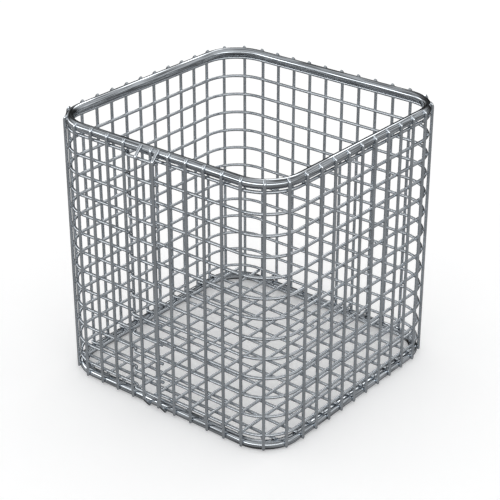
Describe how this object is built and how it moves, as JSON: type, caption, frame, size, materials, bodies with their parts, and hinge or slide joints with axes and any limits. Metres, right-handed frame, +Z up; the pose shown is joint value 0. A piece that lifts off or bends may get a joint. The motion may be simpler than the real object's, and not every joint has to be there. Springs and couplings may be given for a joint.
{
  "type": "wire mesh container",
  "caption": "Square open-topped container of welded round steel wire with rounded corners, a thick rod rim and base ring, a crossed wire bottom and a lapped joint in one wall.",
  "frame": {"origin": "centre of the square plan, on the surface that the bottom rod stands on", "axes": "+Z up out of the open top, -Y towards the wall with the lapped joint, +X to the right seen from that wall"},
  "size_m": [0.268, 0.274, 0.2684],
  "materials": {
    "frame_rod": "polished stainless steel rod with fine drawing lines",
    "upright_wire": "polished stainless steel wire",
    "ring_wire": "polished stainless steel wire",
    "base_wire": "polished stainless steel wire"
  },
  "bodies": {
    "root": {"back_left_corner_uprights": "upright_wire", "back_right_corner_uprights": "upright_wire", "back_uprights": "upright_wire", "base_rod": "frame_rod", "base_wire_x_01": "base_wire", "base_wire_x_02": "base_wire", "base_wire_x_03": "base_wire", "base_wire_x_04": "base_wire", "base_wire_x_05": "base_wire", "base_wire_x_06": "base_wire", "base_wire_x_07": "base_wire", "base_wire_x_08": "base_wire", "base_wire_x_09": "base_wire", "base_wire_x_10": "base_wire", "base_wire_x_11": "base_wire", "base_wire_x_12": "base_wire", "base_wire_y_01": "base_wire", "base_wire_y_02": "base_wire", "base_wire_y_03": "base_wire", "base_wire_y_04": "base_wire", "base_wire_y_05": "base_wire", "base_wire_y_06": "base_wire", "base_wire_y_07": "base_wire", "base_wire_y_08": "base_wire", "base_wire_y_09": "base_wire", "base_wire_y_10": "base_wire", "base_wire_y_11": "base_wire", "base_wire_y_12": "base_wire", "front_left_corner_uprights": "upright_wire", "front_left_uprights": "upright_wire", "front_right_corner_uprights": "upright_wire", "front_right_uprights": "upright_wire", "lapped_uprights": "upright_wire", "left_uprights": "upright_wire", "right_uprights": "upright_wire", "rim_rod": "frame_rod", "ring_wire_01": "ring_wire", "ring_wire_02": "ring_wire", "ring_wire_03": "ring_wire", "ring_wire_04": "ring_wire", "ring_wire_05": "ring_wire", "ring_wire_06": "ring_wire", "ring_wire_07": "ring_wire", "ring_wire_08": "ring_wire", "ring_wire_09": "ring_wire", "ring_wire_10": "ring_wire", "ring_wire_11": "ring_wire", "ring_wire_12": "ring_wire", "ring_wire_13": "ring_wire"}
  },
  "joints": []
}
